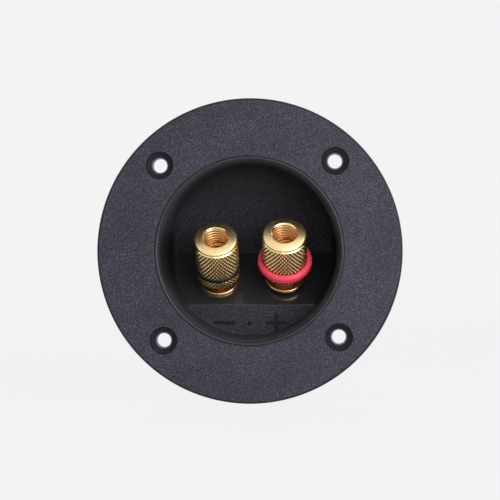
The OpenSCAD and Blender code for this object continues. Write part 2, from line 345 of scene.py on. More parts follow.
def between(loops, steps):
    # rows of points carried straight from each loop to the next
    flat = loops.reshape(len(loops), -1)
    rows = [line(first, last, steps) for first, last in zip(flat[:-1], flat[1:])]
    return np.concatenate(rows + [flat[-1:]]).reshape(-1, *loops.shape[1:])


def floorGrid(turn, sideCount, radius, behind):
    # rows across the well from its right wall to its left, one for each height on the right wall
    side = turn[:sideCount]
    reach = radius[:sideCount] * np.cos(side)
    height = radius[:sideCount] * np.sin(side)
    reach[[0, -1]] = 0
    share = np.linspace(1, -1, cup["floorColumns"])
    x = reach[:, None] * share
    z = np.broadcast_to(height[:, None], x.shape)
    return np.stack([x, wellDepth(z, behind) + frontY, z], axis=-1)


def seatBlock(grid, centre, halfRows, halfCols):
    # the block of cells that lies round a post's hole
    row = np.abs(grid[:, grid.shape[1] // 2, 2] - centre[2]).argmin()
    col = np.abs(grid[row, :, 0] - centre[0]).argmin()
    return (row - halfRows, row + halfRows), (col - halfCols, col + halfCols)


def makeCup():
    # rows of radius and depth carried round the flange, and two floors of rows across the well
    skin = Skin()
    turn, sideCount = cupAngles()
    innerZone, outerZone = cup["screwZone"]
    rows = cup["rows"]
    height = cup["mouthRadius"] * np.sin(turn)
    tight = np.interp(height, cup["roundHeights"],
                      [cup["ledgeRound"], cup["floorRound"], cup["floorRound"], cup["upperRound"]])

    # well: floor edge, rounding, wall, lip and the fine line round it
    edge = np.full(turn.shape, cup["mouthRadius"])
    for settle in range(6):             # the wall's radius and the floor's depth there, by turns
        corner = wellDepth(edge * np.sin(turn), 0)
        edge = wallRadius(corner)
    inset = edge - tight
    wallEnd = corner - tight
    low = wellDepth(inset * np.sin(turn), 0)
    share = np.linspace(0, 1, rows["bend"])[:, None]
    bends = [(1 - share) ** 2, 2 * share * (1 - share), share ** 2]
    bendRadius = bends[0] * inset + bends[1] * edge + bends[2] * wallRadius(wallEnd)
    bendDepth = bends[0] * low + bends[1] * corner + bends[2] * wallEnd
    lipTop = cup["lipDrop"] + cup["lipReach"]
    wallDepth = wallEnd + np.linspace(0, 1, rows["wall"])[1:-1, None] * (lipTop - wallEnd)
    skin.add(ringed(np.concatenate([bendRadius, wallRadius(wallDepth)]),
                    np.concatenate([bendDepth, wallDepth]), turn), closed=True)
    lipEnd = cup["mouthRadius"] + cup["lipRound"]
    lipOuter = cup["lipOuter"]
    lineIn = lipEnd + cup["lipFlat"] + lipOuter
    lineOut = lineIn + cup["lipLine"]
    lineDepth = cup["lipDrop"] + lipOuter
    side = cup["lineSide"]
    # the lip is a parabola, steep in the well and level at its crest
    share = np.linspace(0, 1, rows["lip"])
    rounding = np.stack([cup["mouthRadius"] + cup["lipRound"] * share,
                         cup["lipDrop"] + cup["lipReach"] * (1 - share) ** 2], axis=-1)
    lipRows = np.concatenate([
        rounding, arc((lineIn - lipOuter, lineDepth), lipOuter, 270, 360, 5),
        [[lineOut - side, lineDepth], [lineOut, 0.0], [lineOut + 2 * side, 0.0], [innerZone, 0.0]]])
    lipRows = lipRows[:, :, None] * np.ones_like(turn)
    lastWall = np.stack([wallRadius(wallDepth[-1]), wallDepth[-1]])[None]
    lipRows = np.concatenate([lastWall, lipRows])
    skin.add(ringed(lipRows[:, 0], lipRows[:, 1], turn), closed=True)

    # floor of the well and back of the cup, with the shank holes between them
    outerRadius = cup["mouthRadius"] + cup["wall"]
    outerInset = np.full(turn.shape, outerRadius - cup["outerRound"])
    front = floorGrid(turn, sideCount, inset, 0)
    back = floorGrid(turn, sideCount, outerInset, cup["wall"])
    hideFront = np.zeros((sideCount - 1, front.shape[1] - 1), bool)
    hideBack = hideFront.copy()
    inward = -postAxis * cup["wall"]
    for seat in seats.values():
        loop, inside = block(front, *seatBlock(front, seat, *cup["shankCells"]))
        hideFront |= inside[:, :-1]
        rim = rimOf(loop, seat, cup["shankHole"])
        backLoop, inside = block(back, *seatBlock(back, seat + inward, *cup["shankCells"]))
        hideBack |= inside[:, :-1]
        backRim = rimOf(backLoop, seat + inward, cup["shankHole"])
        skin.add(between(np.stack([loop, rim, backRim, backLoop]), 3), closed=True)
    skin.add(front, hide=hideFront)
    skin.add(back, hide=hideBack)

    # flange: faces with four countersunk holes, and the rounded rim between them
    zone = np.linspace(innerZone, outerZone, rows["zone"])[:, None]
    frontFace = ringed(zone, 0.0, turn)
    rearFace = ringed(zone, flangeThick, turn)
    screws = mounts["panel_screws"]["dims"]
    hide = np.zeros((len(zone) - 1, len(turn)), bool)
    for quarter in range(screws["count"]):
        heading = math.radians(cup["holeTurn"] + 45 + 90 * quarter)
        offAngle = np.abs((turn - heading + math.pi) % (2 * math.pi) - math.pi)
        cols = np.flatnonzero(offAngle < math.radians(cup["screwAngle"]))
        middle = np.array([math.cos(heading), 0, math.sin(heading)]) * screws["pcd_mm"] / 2
        centre = middle + [0, frontY, 0]
        span = ((1, len(zone) - 2), (cols[0], cols[-1]))
        loop, inside = block(frontFace, *span)
        rearLoop = block(rearFace, *span)[0]
        hide |= inside
        sinkDepth = cup["sinkRadius"] - screws["hole_r_mm"]     # its sides stand at 45 degrees
        sink = rimOf(loop, centre, cup["sinkRadius"])
        hole = rimOf(loop, centre, screws["hole_r_mm"])
        rims = [sink, hole + [0, sinkDepth, 0], hole + [0, flangeThick, 0]]
        skin.add(between(np.stack([loop, *rims, rearLoop]), 4), closed=True)
    skin.add(frontFace, closed=True, hide=hide)
    skin.add(rearFace, closed=True, hide=hide)
    rimCentre = (flangeRadius - cup["edgeRound"], cup["edgeRound"])
    rimRows = np.concatenate([
        [[outerZone, 0.0], [rimCentre[0] - hold, 0.0]],
        arc(rimCentre, cup["edgeRound"], 270, 360, 10),
        np.array([flangeRadius, flangeThick]) - cup["rearBreak"],
        [[outerZone, flangeThick]]])
    skin.add(ringed(rimRows[:, 0, None], rimRows[:, 1, None], turn), closed=True)

    # outside of the cup, from the panel seat to the back
    outerCorner = wellDepth(outerRadius * np.sin(turn), cup["wall"])
    outerLow = wellDepth(outerInset * np.sin(turn), cup["wall"])
    rest = outerCorner - cup["outerRound"]
    fillet = cup["seatFillet"]
    start = flangeThick + fillet
    outside = start + np.linspace(0, 1, rows["outside"])[:, None] * (rest - start)
    filletRows = arc((outerRadius + fillet, start), fillet, 270, 180, 4)[:-1]
    seatRows = np.concatenate([[[innerZone, flangeThick]], filletRows])
    seatRows = seatRows[:, :, None] * np.ones_like(turn)
    bendRadius = (bends[0] + bends[1]) * outerRadius + bends[2] * outerInset
    bendDepth = bends[0] * rest + bends[1] * outerCorner + bends[2] * outerLow
    radius = np.concatenate([seatRows[:, 0], np.full(outside.shape, outerRadius), bendRadius[1:]])
    depth = np.concatenate([seatRows[:, 1], outside, bendDepth[1:]])
    skin.add(ringed(radius, depth, turn), closed=True)
    return skin.piece("cupShell", cup["sharp"])


# Turned and knurled metal

across = np.array([1.0, 0.0, 0.0])
upSlope = np.cross(postAxis, across)

nut = {
    # millimetres, and shares of the darkest tarnish and painted shade
    "knurlCount": 36,
    "knurlDepth": 0.5,
    "diamondSteps": 8,                  # points across a diamond
    "collar": 1.9,
    "collarRadius": 7.5,
    "collarRound": 0.8,                 # the collar is rolled over at its edge,
    "collarArc": (-55, 86),             # from below its side to its top, in degrees
    "topFall": 0.14,                    # how far the top face falls from its mouth to that edge
    "runOut": 0.5,                      # length over which the long knurl's grooves run out
    "longKnurl": 12.0,
    "longDiamonds": 6,
    "shortKnurl": 3.2,
    "shortDiamonds": 2,
    "land": 0.3,
    "landRadius": 6.6,
    "groove": 1.8,
    "grooveRadius": 6.4,
    "mouthRadius": 4.4,
    "outerRadius": 7.6,
    "edge": 0.1,                        # breaks at the land and the mouth
    # darkening under the nut, in the bore and in the knurl's valleys is tarnish with painted shade
    "underTarnishAndShade": 0.6,
    "shortTarnishAndShade": 1.4,                # the short knurl's valleys are darker than the long one's: painted shade under the ring
    "boreTarnishAndShade": 0.58,                # tarnish and painted shade on the crests of the thread; it is 1 at the root
    "boreFade": 1.2,                    # gain in each millimetre from the bore's ends, so that the bore is darker deeper in: painted shade
    "collarTarnish": -1.0,              # less than none marks the satin collar
    "sharp": 28,
}
thread = {
    "pitch": 1.25,
    "root": 4.4,                        # radius at the root of the nut's thread
    "depth": 0.4,
    "spare": 0.07,                      # room between the nut's thread and the post's
    "steps": 12,                        # rows in a turn
}
post = {
    "footRadius": 7.0,
    "foot": 1.0,
    "footRound": 0.25,
    "footBreak": 0.15,                  # chamfer under the foot
    "footClean": 0.6,                   # bright edge round the foot's top, which is darkened with tarnish and painted shade
    "neckRadius": 3.9,                  # clear of the nut's thread
    "neckSpan": (1.5, 5.1),             # heights between which the neck is plain
    "studHeight": 16.3,
    "threadStart": 5.4,
    "chamfer": 0.6,
    "socketRadius": 2.05,
    "socketDepth": 10.5,
    "socketChamfer": 0.4,
    "wireHole": 1.5,
    "wireHoleAt": 3.1,
    "shankRadius": 2.5,
    "shankEnd": -14.2,
    "shankPitch": 0.8,
    "shankThread": 0.4,
    "shankTop": -0.4,                   # where the shank's thread ends below the foot,
    "shankFade": 2.0,                   # and the length over which it runs out
    "threadFade": 0.8,                  # the same for the stud's thread
    "neckFillet": 0.3,
    "footTarnishAndShade": 0.74,
    "columns": 96,
    "holeColumns": 48,
    "holeStart": 0.37,                  # share of a column, so that the hole's corners miss the neck's
    "sharp": 28,
}


def onPost(foot, radius, turn, along):
    # a point at a radius and angle round a post's axis, so far along it from the foot
    radius, turn, along = np.broadcast_arrays(radius, turn, along)
    sideways = (radius * np.cos(turn))[..., None] * across
    upward = (radius * np.sin(turn))[..., None] * upSlope
    return foot + sideways + upward + along[..., None] * postAxis


class Turning:
    # rows of radius and height gathered along a post's axis and turned round it into one grid
    def __init__(self, foot, columns):
        self.foot = foot
        self.turn = 2 * math.pi * np.arange(columns) / columns
        self.radius = []
        self.along = []
        self.tarnishAndShade = []

    def plain(self, *rows, tarnishAndShade=0.0):
        # rows that are the same all round
        rows = np.concatenate([np.atleast_2d(row) for row in rows])
        self.varied(rows[:, :1], rows[:, 1:], tarnishAndShade)

    def varied(self, radius, along, tarnishAndShade=0.0):
        # rows that change on their way round
        radius, along, tarnishAndShade = np.broadcast_arrays(radius, along, tarnishAndShade, self.turn)[:3]
        self.radius.append(radius)
        self.along.append(along)
        self.tarnishAndShade.append(tarnishAndShade)

    def piece(self, name, sharpAngle):
        # all rows as one mesh, with its cells cut along the valleys and crests
        radius = np.concatenate(self.radius)
        skin = Skin()
        grid = onPost(self.foot, radius, self.turn, np.concatenate(self.along))
        skin.add(grid, closed=True, crease=radius, tarnishAndShade=np.concatenate(self.tarnishAndShade))
        return skin.piece(name, sharpAngle)


def threadRise(along, turn, pitch):
    # right-hand thread as a cosine wave: 1 on the nut's crest, where the post has its root, and 0 between
    return 0.5 + 0.5 * np.cos(2 * math.pi * along / pitch - turn)


def knurlDip(along, turn, height, diamonds):
    # depth of a diamond knurl: the product of two half waves, one across each set of grooves,
    # so that every diamond has a rounded top and meets its neighbours in sharp valleys
    around = nut["knurlCount"] * turn / (2 * math.pi)
    climb = along * diamonds / height
    rises = [np.abs(np.sin(math.pi * (around + sign * climb))) for sign in (1, -1)]
    return nut["knurlDepth"] * (1 - rises[0] * rises[1])


def endOf(node, foot):
    # lower end of a node along its post's axis
    points = frame["nodes"][node].data.vertices
    flat = np.empty(3 * len(points))
    points.foreach_get("co", flat)
    return ((flat.reshape(-1, 3) / mm - foot) @ postAxis).min()


def makeThumbNut(name, foot, base):
    # land, short knurl, ring groove, long knurl and collar up the outside, then the thread down the bore
    turning = Turning(foot, nut["knurlCount"] * nut["diamondSteps"])
    outer, collar, mouth = nut["outerRadius"], nut["collarRadius"], nut["mouthRadius"]
    pit = outer - nut["knurlDepth"]
    shortAt = base + nut["land"]
    grooveAt = shortAt + nut["shortKnurl"]
    longAt = grooveAt + nut["groove"]
    collarAt = longAt + nut["longKnurl"]
    top = collarAt + nut["collar"]

    def knurled(start, height, diamonds, runOut):
        # the knurl is bevelled where it ends at the ring groove and runs out at the collar
        along = np.linspace(0, height, diamonds * nut["diamondSteps"] + 1)[:, None]
        dip = knurlDip(along, turning.turn, height, diamonds)
        fromTop = height - along
        if runOut:
            share = np.clip(1 - fromTop / nut["runOut"], 0, 1)
            dip = dip + share * (outer - collar - dip)
        fromEnd = along if runOut else np.minimum(along, fromTop)
        dip = np.maximum(dip, nut["knurlDepth"] - fromEnd)
        # the valleys darken with tarnish and painted shade, and on the short knurl with more shade under the ring
        dark = 1 if runOut else nut["shortTarnishAndShade"]
        turning.varied(outer - dip, start + along, dip / nut["knurlDepth"] * dark)

    land, small, groove = nut["landRadius"], nut["edge"], nut["grooveRadius"]
    # the nut's underside and land are darkened: tarnish with painted shade
    turning.plain([mouth, base], [land - small, base], [land, base + small], [land, shortAt],
                  tarnishAndShade=nut["underTarnishAndShade"])
    knurled(shortAt, nut["shortKnurl"], nut["shortDiamonds"], False)
    turning.plain([pit, grooveAt], [groove, grooveAt], [groove, longAt], [pit, longAt])
    knurled(longAt, nut["longKnurl"], nut["longDiamonds"], True)
    edge = nut["collarRound"]
    turning.plain(arc((collar - edge, top - nut["topFall"] - edge), edge, *nut["collarArc"], 18),
                  [mouth + 2 * small, top], arc((mouth + small, top - small), small, 90, 180, 3),
                  tarnishAndShade=nut["collarTarnish"])

    # threaded bore, cut back by a chamfer at each end
    rows = int(round((top - base) / thread["pitch"] * thread["steps"]))
    along = np.linspace(top - small, base, rows + 1)[1:, None]
    rise = threadRise(along, turning.turn, thread["pitch"])
    fromEnd = np.minimum(along - base, top - small - along)
    radius = np.maximum(thread["root"] - thread["depth"] * rise, mouth - fromEnd)
    # the thread's root and the bore's depths are darker: tarnish with painted shade
    dark = 1 - (1 - nut["boreTarnishAndShade"]) * rise
    turning.varied(radius, along, np.clip(dark, 0, nut["boreFade"] * fromEnd))
    return turning.piece(name, nut["sharp"])


def makePost(name, foot):
    # shank, foot, plain neck, threaded stud and plug socket in one turning,
    # then the wire hole drilled across it
    turning = Turning(foot, post["columns"])
    neck, height, flange, rim = post["neckRadius"], post["studHeight"], post["foot"], post["footRadius"]
    shank, end, cut = post["shankRadius"], post["shankEnd"], post["chamfer"]

    def threaded(crest, pitch, depth, start, stop, low, high):
        # a thread that fades in over low at its start, or out over high at its end,
        # and is chamfered at the other end
        rows = int(round((stop - start) / pitch * thread["steps"]))
        along = np.linspace(start, stop, rows + 1)[:, None]
        dip = depth * threadRise(along, turning.turn, pitch)
        fade = np.clip((along - start) / low, 0, 1) if low else np.clip((stop - along) / high, 0, 1)
        fromEnd = stop - along if low else along - start
        turning.varied(np.minimum(crest - dip * fade, crest - np.clip(cut - fromEnd, 0, None)), along)

    turning.plain([0.0, end], [shank - cut, end])
    threaded(shank, post["shankPitch"], post["shankThread"], end, post["shankTop"],
             None, post["shankFade"])
    edge, fillet, under = post["footRound"], post["neckFillet"], post["footBreak"]
    neckLow, neckHigh = post["neckSpan"]
    turning.plain([shank, 0.0], [rim - under, 0.0], [rim, under],
                  arc((rim - edge, flange - edge), edge, 0, 90, 6))
    # the foot's top is darkened: tarnish with painted shade in the gap under the nut
    turning.plain([rim - post["footClean"], flange], [neck + fillet + hold, flange],
                  arc((neck + fillet, flange + fillet), fillet, 270, 180, 4),
                  line((neck, neckLow), (neck, neckHigh), 5), tarnishAndShade=post["footTarnishAndShade"])
    crest = thread["root"] - thread["spare"]
    threaded(crest, thread["pitch"], thread["depth"], post["threadStart"], height,
             post["threadFade"], None)
    socket, mouth, depth = post["socketRadius"], post["socketChamfer"], post["socketDepth"]
    turning.plain([crest - cut, height], [socket + mouth, height], [socket, height - mouth],
                  [socket, height - depth / 2], [socket, height - depth], [0.0, height - depth])
    made = turning.piece(name, post["sharp"])

    # the drill is a closed rod across the post, cut out of it
    drill = Skin()
    reach, hole = neck + 2, post["wireHole"]
    circle = 2 * math.pi * (np.arange(post["holeColumns"]) + post["holeStart"]) / post["holeColumns"]
    radius = np.array([0, hole, hole, 0])[:, None]
    sideways = np.array([-reach, -reach, reach, reach])[:, None, None] * across
    upward = (radius * np.cos(circle))[..., None] * upSlope
    along = (radius * np.sin(circle))[..., None] * postAxis
    drill.add(foot + post["wireHoleAt"] * postAxis + sideways + upward + along, closed=True)
    bit = drill.piece(name + "Drill", post["sharp"])
    carve = made.modifiers.new("wireHole", "BOOLEAN")
    carve.operation = "DIFFERENCE"
    carve.solver = "EXACT"
    carve.object = bit
    bpy.context.view_layer.update()
    finished = bpy.data.meshes.new_from_object(made.evaluated_get(bpy.context.evaluated_depsgraph_get()))
    made.modifiers.clear()
    made.data = finished
    finished.shade_smooth()
    finished.set_sharp_from_angle(angle=math.radians(post["sharp"]))
    bpy.data.objects.remove(bit)
    return made


# Colour rings and the insulating washer

blackRing = {"inner": 6.45, "outer": 7.4, "low": 0.05, "high": 1.75, "round": 0.25}
redRing = {"inner": 6.45, "tongueLow": 0.05, "tongueHigh": 1.75, "bead": 7.65, "outer": 9.25,
           "low": -0.15, "high": 2.85, "round": 1.1}
insulator = {"inner": 2.6, "outer": 7.0, "low": 0.0, "high": 1.6, "round": 0.2}
ringMesh = {"columns": 160, "sharp": 40}


def makeRing(name, foot, base, rows):
    # a closed section carried round the post's axis
    turning = Turning(foot, ringMesh["columns"])
    turning.plain(rows + [0, base])
    return turning.piece(name, ringMesh["sharp"])


def plainSection(ring):
    # a flat ring with its two outer edges rounded
    inner, outer, low, high, bend = (ring[key] for key in ("inner", "outer", "low", "high", "round"))
    flat = outer - bend - 0.1
    return np.concatenate([
        [[inner, low], [flat, low]],
        arc((outer - bend, low + bend), bend, 270, 360, 6),
        arc((outer - bend, high - bend), bend, 0, 90, 6),
        [[flat, high], [inner, high], [inner, low]]])


def beadSection(ring):
    # a tongue in the nut's groove and a square bead with rounded edges outside it
    inner, bead, outer, bend = (ring[key] for key in ("inner", "bead", "outer", "round"))
    low, high, tongueLow, tongueHigh = (ring[key] for key in ("low", "high", "tongueLow", "tongueHigh"))
    small = 0.1                         # rounding of the bead's inner edges
    flat = bend + hold
    return np.concatenate([
        [[inner, tongueLow], [bead, tongueLow]],
        arc((bead + small, low + small), small, 180, 270, 4),
        [[outer - flat, low]],
        arc((outer - bend, low + bend), bend, 270, 360, 8),
        [[outer, low + flat], [outer, high - flat]],
        arc((outer - bend, high - bend), bend, 0, 90, 8),
        [[outer - flat, high]],
        arc((bead + small, high - small), small, 90, 180, 4),
        [[bead, tongueHigh], [inner, tongueHigh], [inner, tongueLow]]])


# Polarity marks on the ledge

marks = {
    "height": 0.4,
    "thick": 0.9,                       # width of a bar
    "row": -24.5,                       # how high on the flange the marks sit
    "minus": (-9.1, 7.3, 0.9),          # middle, width and height of each mark
    "dot": (-0.4, 1.3, 1.3),
    "plus": (8.6, 6.8, 6.4),
    "sharp": 30,
}


def addMark(skin, middle, width, height):
    # the outline of two crossing bars, drawn in as it rises from the ledge
    top, shut = marks["height"], 9.0    # an inset of shut closes the outline to a line
    rise = np.array([[shut, -0.1], [0.0, -0.1], [0.0, top - 0.2],
                     [0.05, top - 0.06], [0.12, top], [shut, top]])
    inset = rise[:, 0]
    bar, wide, tall = (np.clip(size / 2 - inset, 0, None) for size in (marks["thick"], width, height))
    corners = [(wide, bar), (bar, bar), (bar, tall)]
    corners = corners + [(-out, up) for out, up in reversed(corners)]
    corners = corners + [(-out, -up) for out, up in corners]
    x, z = (np.stack([corner[part] for corner in corners], axis=1) for part in (0, 1))
    depth = cup["ledgeDepth"] + frontY - rise[:, 1:] + 0 * x
    skin.add(np.stack([middle + x, depth, marks["row"] + z], axis=-1), closed=True)


def makeMarks():
    # minus, dot and plus in a row, in one mesh
    skin = Skin()
    for name in ("minus", "dot", "plus"):
        addMark(skin, *marks[name])
    return skin.piece("polarityMarks", marks["sharp"])


# Finishes

plasticLook = {
    "pit": (44, 42, 51),
    "speck": (120, 117, 135),
    "wellPit": (33, 32, 37),            # the same, darker inside the well: painted shade in the recess
    "wellSpeck": (104, 102, 113),
    "lip": (42, 41, 46),
    "smooth": (29, 28, 31),             # smooth places and patches in the grain, and painted shade in the fine line round the lip and at the top of the well
    "sink": (37, 36, 43),               # countersinks and rim
    "brinkShade": (17, 17, 19),              # painted shade in a ring at the countersinks' outer edge
    "deep": (41, 41, 43),               # post floor
    "shaftShade": (31, 31, 33),              # painted shade on the wall beside the post floor
    "grain": 4100.0,                    # specks to the metre
    "grainTurn": (0.5, 0.4, 0.3),       # keeps flat faces off the noise's own planes, where it is faint
    "speckRange": (0.45, 0.75),         # noise from which pits turn into specks
    "relief": 0.00006,
    "reliefShare": 0.9,
    "cloud": 70.0,                      # faint patches to the metre
    "cloudRange": (0.35, 0.7),
    "cloudShare": 0.25,
    "lineGrain": 0.4,                   # share of the grain kept in the fine line round the lip; the rest is the smooth colour, painted shade in the groove
    "wellTopShade": 0.62,                   # painted shade towards the top of the well: share of the grain given over to the smooth colour there
    "rough": 0.58,
    "speckRough": 0.08,                 # more on the specks
    "polish": 0.3,                      # less where it is smooth
    "specular": 0.16,
    "lipGloss": 0.3,                    # the post floor has 1
    "glossRough": 0.22,
}
plasticEdge = {
    # metres between which one place on the cup turns into the next
    "lipIn": (0.0295, 0.0303),          # from the middle of the flange
    "lipOut": (0.0308, 0.0309),
    "lineOut": (0.03118, 0.03128),
    "rim": (0.0492, 0.0494),
    "mouth": (0.0292, 0.0298),
    "besideIn": (0.0262, 0.0275),       # where the post floor bends up to the wall
    "besideOut": (0.0288, 0.0290),
    "shaftIn": (0.0274, 0.0284),        # wall beside the post floor
    "shaftOut": (0.0293, 0.0300),
    "sink": (0.0044, 0.0046),           # from the middle of a screw hole
    "brinkShade": (0.0040, 0.0043),
    "bevelHighlight": (0.0025, 0.0029),
    "front": (-0.0008, -0.0003),        # depth behind which the countersinks' finish stops
    "floor": (0.0002, 0.0005),          # from the post floor's plane, to either side
    "behindFloor": (-0.002, -0.001),    # and no further behind it than this
    "pocketLow": (-0.0187, -0.0183),    # heights on the flange: the post floor's two folds,
    "pocketHigh": (-0.0008, 0.0002),
    "shaftLow": (-0.018, -0.006),       # the painted shade on the wall beside it
    "shaftHigh": (0.002, 0.010),
    "wellTop": (0.008, 0.024),          # and the top of the well, where painted shade darkens it
}
goldLook = {
    "bright": (255, 230, 172),
    "worn": (253, 218, 152),
    "deep": (172, 82, 24),              # tarnish and painted shade in the bore and on the foot
    "valley": (92, 48, 24),             # and between the knurl's diamonds
    "valleyEdge": (0.0066, 0.0069),     # radius past which that tarnish and painted shade lies between diamonds
    "tarnishAndShadeRange": (0.4, 1.0),         # tarnish and painted shade of the mesh between none of those colours and most
    "grimeAndShade": 0.9,                       # share of them where it is darkest
    "lines": 5200.0,                    # turning lines to the metre
    "lineDepth": 0.000003,
    "lineShare": 0.12,
    "cloud": 420.0,                     # worn patches to the metre
    "wornRange": (0.35, 0.75),
    "rough": 0.12,
    "cloudRough": 0.04,                 # added to it by patches, lines and tarnish
    "cloudRange": (0.4, 0.8),
    "lineRough": 0.03,
    "tarnishRough": 0.2,
    "dullRange": (0.3, 0.6),
    "satin": 0.11,                      # and on the nuts' collars
    "satinRange": (0.3, 0.9),
}
peel = {
    # fine orange peel on the smooth plastics
    "cloud": 300.0,                     # patches to the metre
    "fine": 3800.0,                     # dimples to the metre
    "depth": 0.00001,
    "share": 0.4,
    "rough": 0.32,
    "fineRough": 0.1,
}
redLook = {"shade": (255, 68, 92), "light": (255, 90, 116), "gloss": 0.3}
blackLook = {"shade": (24, 24, 26), "light": (30, 30, 32), "gloss": 0.1}
rubberLook = {"shade": (24, 24, 26), "light": (34, 34, 36), "gloss": 0.5}


def grainedPlastic():
    # moulded black plastic: spark-eroded grain, but smooth on the lip, rim, countersinks and post floor
    look = plasticLook
    paint = Paint(bpy.data.materials.new("grainedPlastic"))
    place = paint.place()
    x, y, z = paint.parts(place)

    def past(value, name):
        # 0 before one of the edges and 1 past it
        return paint.ramp(value, *plasticEdge[name])

    # lip, the fine line round it, the flange's rim and the inside of the well
    radius = (x * x + z * z) ** 0.5
    lip = past(radius, "lipIn") * (1 - past(radius, "lipOut"))
    # the fine line round the lip gets painted shade in its groove
    groove = past(radius, "lipOut") * (1 - past(radius, "lineOut"))
    rim = past(radius, "rim")
    inside = 1 - past(radius, "mouth")

    # countersinks, by the distance from the nearest screw hole
    holeTurn = math.radians(cup["holeTurn"])
    cosTurn, sinTurn = math.cos(holeTurn), math.sin(holeTurn)
    holeAt = mounts["panel_screws"]["dims"]["pcd_mm"] / 2 * math.sqrt(0.5) * mm
    sideways = paint.size(x * cosTurn + z * sinTurn) - holeAt
    upward = paint.size(z * cosTurn - x * sinTurn) - holeAt
    fromHole = (sideways * sideways + upward * upward) ** 0.5
    ahead = 1 - past(y, "front")
    sink = ahead * (1 - past(fromHole, "sink"))
    # a ring of painted shade at each countersink's outer edge
    brinkShade = sink * past(fromHole, "brinkShade")
    # a painted highlight in the light speck colour round the edge of each screw hole
    bevelHighlight = ahead * (1 - past(fromHole, "bevelHighlight"))

    # glossy post floor with its bend, and painted shade on the wall beside it
    seat = seats["red"] * mm
    offFloor = (y - seat[1].item()) * postAxis[1].item() + (z - seat[2].item()) * postAxis[2].item()
    pocket = past(z, "pocketLow") * (1 - past(z, "pocketHigh")) * past(offFloor, "behindFloor")
    beside = past(radius, "besideIn") * (1 - past(radius, "besideOut"))
    floor = pocket * paint.most(1 - past(paint.size(offFloor), "floor"), beside)
    shaftShade = past(radius, "shaftIn") * (1 - past(radius, "shaftOut"))
    shaftShade = shaftShade * past(z, "shaftLow") * (1 - past(z, "shaftHigh"))
    smooth = paint.most(lip, groove, rim, sink, floor)

    # colours, one over the other
    settings = {"rotation_type": "EULER_XYZ"}
    turned = paint.node("VectorRotate", settings, {"Vector": place, "Rotation": look["grainTurn"]})
    grain = paint.noise(turned, look["grain"], roughness=0.6)
    pits = paint.ramp(grain, *look["speckRange"])
    cloud = paint.ramp(paint.noise(place, look["cloud"], detail=3.0), *look["cloudRange"])
    # the grain inside the well is darker: painted shade in the recess
    wellShade = paint.mix(pits, tint(*look["wellPit"]), tint(*look["wellSpeck"]))
    # the smooth colour covers the smooth places, and stands in as painted shade in the fine line round the lip and
    # at the top of the well
    evenAndShade = paint.most(smooth - look["lineGrain"] * groove, inside * look["wellTopShade"] * past(z, "wellTop"))
    shade = paint.mix(pits, tint(*look["pit"]), tint(*look["speck"]))
    shade = paint.mix(cloud * look["cloudShare"], shade, tint(*look["smooth"]))
    shade = paint.mix(inside, shade, wellShade)
    shade = paint.mix(evenAndShade, shade, tint(*look["smooth"]))
    shade = paint.mix(lip, shade, tint(*look["lip"]))
    shade = paint.mix(paint.most(sink, rim), shade, tint(*look["sink"]))
    shade = paint.mix(brinkShade, shade, tint(*look["brinkShade"]))
    shade = paint.mix(bevelHighlight, shade, tint(*look["speck"]))
    shade = paint.mix(floor, shade, tint(*look["deep"]))
    shade = paint.mix(shaftShade, shade, tint(*look["shaftShade"]))
    rough = look["rough"] + look["speckRough"] * grain - look["polish"] * smooth
    normal = paint.bump(pits * (1 - smooth), look["relief"], look["reliefShare"])
    gloss = paint.most(lip * look["lipGloss"], floor)
    return paint.shaded({"Base Color": shade, "Roughness": rough, "Normal": normal,
                         "Specular IOR Level": look["specular"],
                         "Coat Weight": gloss, "Coat Roughness": look["glossRough"]})


def goldPlate():
    # bright gold over turned brass: fine lines round each post's axis, worn patches, a satin collar,
    # and tarnish with painted shade where the mesh says so
    look = goldLook
    paint = Paint(bpy.data.materials.new("goldPlate"))
    place = paint.place()
    x, y, z = paint.parts(place)
    seat = seats["red"] * mm
    sideways = paint.size(x) - seat[0].item()
    deep, up = y - seat[1].item(), z - seat[2].item()
    upward = deep * upSlope[1].item() + up * upSlope[2].item()
    along = deep * postAxis[1].item() + up * postAxis[2].item()
    radius = (sideways * sideways + upward * upward) ** 0.5
    lathe = paint.node("CombineXYZ", {}, {"X": radius, "Y": along})
    lines = paint.noise(lathe, look["lines"], roughness=0.6)
    cloud = paint.noise(place, look["cloud"], detail=3.0, roughness=0.6)
    # the mesh's darkening is tarnish together with painted shade in the bore, on the foot, under the nut and
    # between the knurl's diamonds
    worn = paint.node("Attribute", {"attribute_name": "tarnishAndShade"}, {}, "Fac")
    tarnishAndShade = paint.ramp(worn, *look["tarnishAndShadeRange"])
    warm = paint.mix(paint.ramp(cloud, *look["wornRange"]), tint(*look["bright"]), tint(*look["worn"]))
    grimeAndShade = paint.mix(paint.ramp(radius, *look["valleyEdge"]), tint(*look["deep"]), tint(*look["valley"]))
    warm = paint.mix(look["grimeAndShade"] * tarnishAndShade, warm, grimeAndShade)
    rough = look["rough"] + look["lineRough"] * lines
    rough = rough + look["cloudRough"] * paint.ramp(cloud, *look["cloudRange"])
    rough = rough + look["tarnishRough"] * paint.ramp(worn, *look["dullRange"])
    rough = rough + look["satin"] * paint.ramp(0 - worn, *look["satinRange"])
    normal = paint.bump(lines, look["lineDepth"], look["lineShare"])
    return paint.shaded({"Base Color": warm, "Metallic": 1.0, "Roughness": rough, "Normal": normal})


def smoothPlastic(name, look):
    # moulded plastic with a gentle gloss, a faint cloud in its colour and fine orange peel
    paint = Paint(bpy.data.materials.new(name))
    place = paint.place()
    cloud = paint.noise(place, peel["cloud"])
    fine = paint.noise(place, peel["fine"])
    shade = paint.mix(cloud, tint(*look["shade"]), tint(*look["light"]))
    rough = peel["rough"] + peel["fineRough"] * fine
    normal = paint.bump(fine, peel["depth"], peel["share"])
    return paint.shaded({"Base Color": shade, "Roughness": rough, "Normal": normal,
                         "Specular IOR Level": look["gloss"]})


